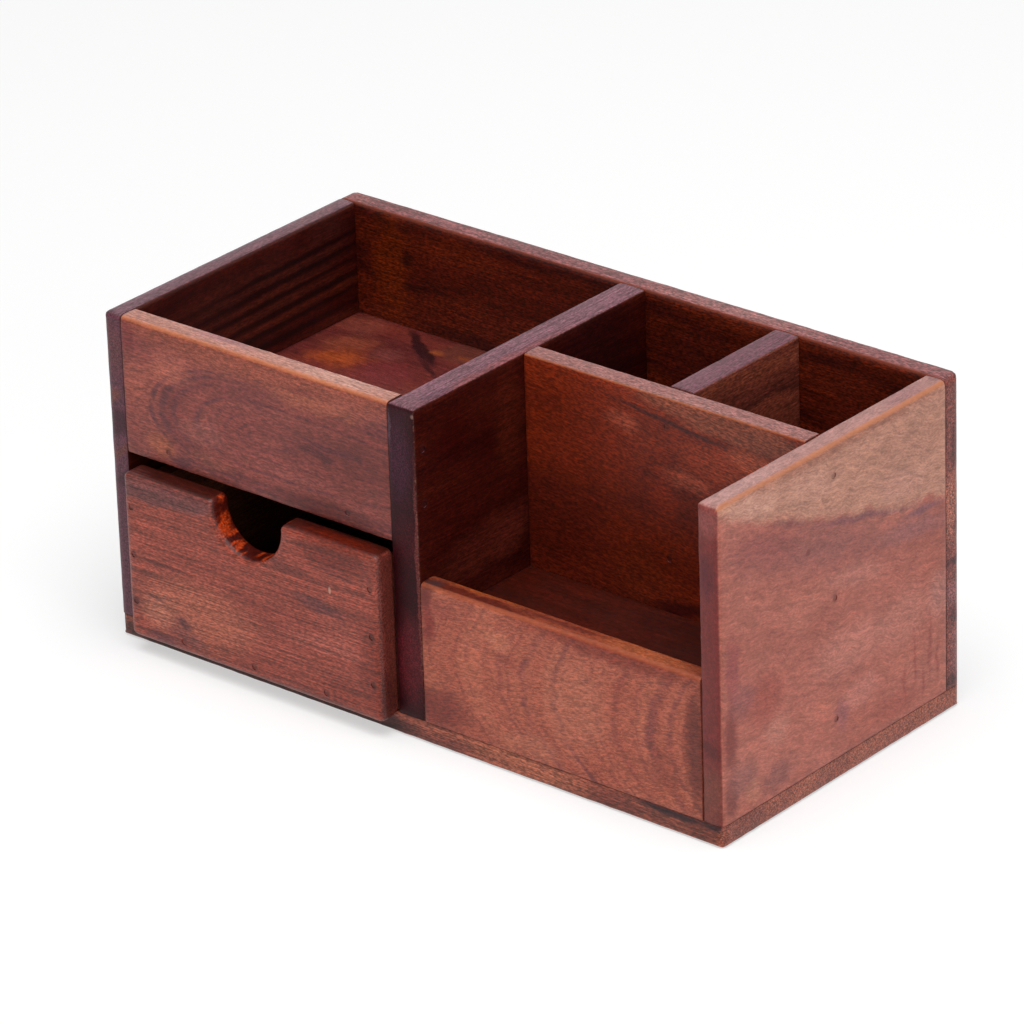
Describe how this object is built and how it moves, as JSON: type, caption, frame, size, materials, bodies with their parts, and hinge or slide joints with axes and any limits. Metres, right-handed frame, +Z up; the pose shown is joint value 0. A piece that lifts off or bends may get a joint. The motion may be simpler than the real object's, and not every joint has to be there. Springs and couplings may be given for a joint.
{
  "type": "pen stand with drawer",
  "caption": "Wooden desk organizer with a shallow tray over a sliding drawer, a low-fronted bay and pen wells behind it.",
  "frame": {"origin": "centre of the case's underside, which stands on the desk; the drawer's face stands out past the case towards -Y", "axes": "+X to the right along the case's length as seen from the front, +Y from the front to the back, +Z up"},
  "size_m": [0.254, 0.131, 0.117],
  "materials": {
    "base_wood": "oiled, satin",
    "dark_wood": "oiled, satin",
    "red_wood": "oiled, satin",
    "pale_wood": "oiled, satin",
    "nail_steel": "dull, darkened"
  },
  "bodies": {
    "case": {"base_board": "base_wood", "back_panel": "dark_wood", "left_side_panel": "dark_wood", "right_side_panel": "pale_wood", "middle_partition": "dark_wood", "tray_front": "red_wood", "tray_floor": "red_wood", "low_front": "pale_wood", "bay_floor": "red_wood", "cross_panel": "red_wood", "pen_divider": "pale_wood", "cross_panel_nails": "nail_steel", "divider_nails": "nail_steel", "tray_front_nails": "nail_steel", "tray_floor_nails": "nail_steel", "back_panel_nails": "nail_steel", "base_nails": "nail_steel"},
    "drawer": {"drawer_front": "red_wood", "drawer_left_side": "pale_wood", "drawer_right_side": "pale_wood", "drawer_back": "pale_wood", "drawer_bottom": "pale_wood", "drawer_front_nails": "nail_steel", "drawer_back_nails": "nail_steel", "drawer_bottom_nails": "nail_steel"}
  },
  "joints": [
    {"name": "drawer_slide", "type": "slide", "parent": "case", "child": "drawer", "axis": [0, -1, 0], "range_m": [0, 0.09]}
  ]
}
